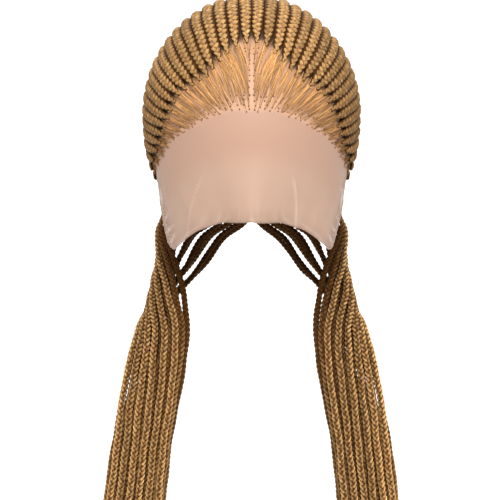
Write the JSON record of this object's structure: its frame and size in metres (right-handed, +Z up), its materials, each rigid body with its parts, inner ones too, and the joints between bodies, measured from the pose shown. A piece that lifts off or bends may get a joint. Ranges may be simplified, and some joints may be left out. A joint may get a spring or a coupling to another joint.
{
  "type": "braid wig",
  "caption": "Full lace wig with fine cornrows running back from the hairline into long three-strand braids drawn forward over both shoulders, with an uncut front lace.",
  "frame": {"origin": "inside of the cap at its crown, where the top of the head touches it", "axes": "+X to the viewer's right, the face looks along -Y, +Z up through the crown"},
  "size_m": [0.254, 0.2116, 0.5557],
  "materials": {
    "cap_lace": "fine skin-tone net, matt",
    "front_lace": "fine sheer skin-tone net, matt",
    "braided_hair": "honey blond synthetic braiding fibre, soft sheen"
  },
  "bodies": {
    "root": {"lace_cap": "cap_lace", "front_lace": "front_lace", "braid_left_01": "braided_hair", "braid_left_02": "braided_hair", "braid_left_03": "braided_hair", "braid_left_04": "braided_hair", "braid_left_05": "braided_hair", "braid_left_06": "braided_hair", "braid_left_07": "braided_hair", "braid_left_08": "braided_hair", "braid_left_09": "braided_hair", "braid_left_10": "braided_hair", "braid_left_11": "braided_hair", "braid_left_12": "braided_hair", "braid_left_13": "braided_hair", "braid_left_14": "braided_hair", "braid_left_15": "braided_hair", "braid_left_16": "braided_hair", "braid_left_17": "braided_hair", "braid_left_18": "braided_hair", "braid_left_19": "braided_hair", "braid_left_20": "braided_hair", "braid_right_01": "braided_hair", "braid_right_02": "braided_hair", "braid_right_03": "braided_hair", "braid_right_04": "braided_hair", "braid_right_05": "braided_hair", "braid_right_06": "braided_hair", "braid_right_07": "braided_hair", "braid_right_08": "braided_hair", "braid_right_09": "braided_hair", "braid_right_10": "braided_hair", "braid_right_11": "braided_hair", "braid_right_12": "braided_hair", "braid_right_13": "braided_hair", "braid_right_14": "braided_hair", "braid_right_15": "braided_hair", "braid_right_16": "braided_hair", "braid_right_17": "braided_hair", "braid_right_18": "braided_hair", "braid_right_19": "braided_hair", "braid_right_20": "braided_hair"}
  },
  "joints": []
}
